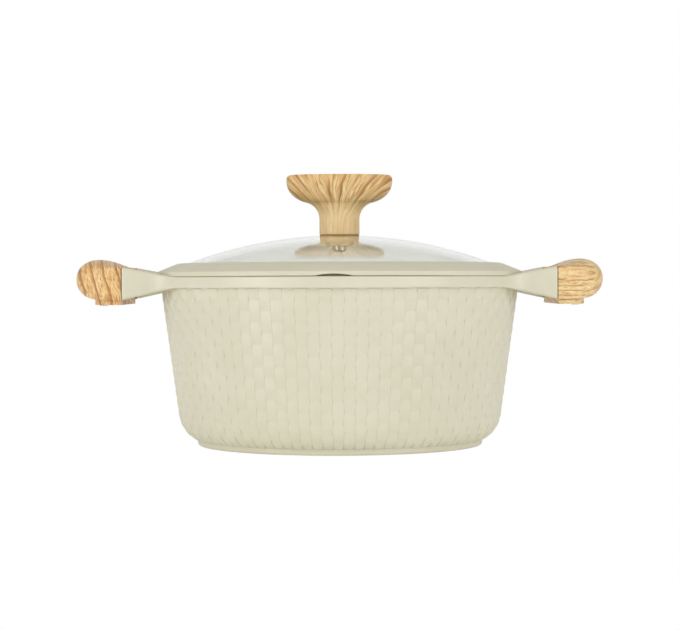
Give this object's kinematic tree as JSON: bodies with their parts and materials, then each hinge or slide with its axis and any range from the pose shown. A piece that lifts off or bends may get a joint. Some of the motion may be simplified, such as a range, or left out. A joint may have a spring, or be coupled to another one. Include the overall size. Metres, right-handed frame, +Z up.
{
  "type": "saucepan with glass lid",
  "caption": "Round cast casserole pan with loop side handles in wood-look grips and a domed glass lid with a soft rim and an oval knob.",
  "frame": {"origin": "centre of the base on the worktop plane, at the bottom of the bounding box", "axes": "+Z up along the pot's axis, +X out through the right side handle, so the handles lie along X"},
  "size_m": [0.364, 0.256, 0.1884],
  "materials": {
    "cream_casting": "satin",
    "base_steel": "satin",
    "wood_look": "satin",
    "insert_brass": "satin",
    "screw_steel": "satin",
    "lid_glass": "gloss",
    "rim_silicone": "matte",
    "gasket_rubber": "matte"
  },
  "bodies": {
    "pot": {"pot_body": "cream_casting", "induction_plate": "base_steel", "right_grip_shell": "wood_look", "right_grip_cover": "wood_look", "right_grip_inserts": "insert_brass", "right_grip_screws": "screw_steel", "left_grip_shell": "wood_look", "left_grip_cover": "wood_look", "left_grip_inserts": "insert_brass", "left_grip_screws": "screw_steel"},
    "lid": {"lid_glass": "lid_glass", "lid_rim": "rim_silicone", "knob_body": "wood_look", "knob_insert": "insert_brass", "knob_seat_gasket": "gasket_rubber", "knob_under_gasket": "gasket_rubber", "knob_washer": "screw_steel", "knob_lock_washer": "screw_steel", "knob_screw": "screw_steel"}
  },
  "joints": [
    {"name": "lid_lift", "type": "slide", "parent": "pot", "child": "lid", "axis": [0, 0, 1], "range_m": [0, 0.12]}
  ]
}
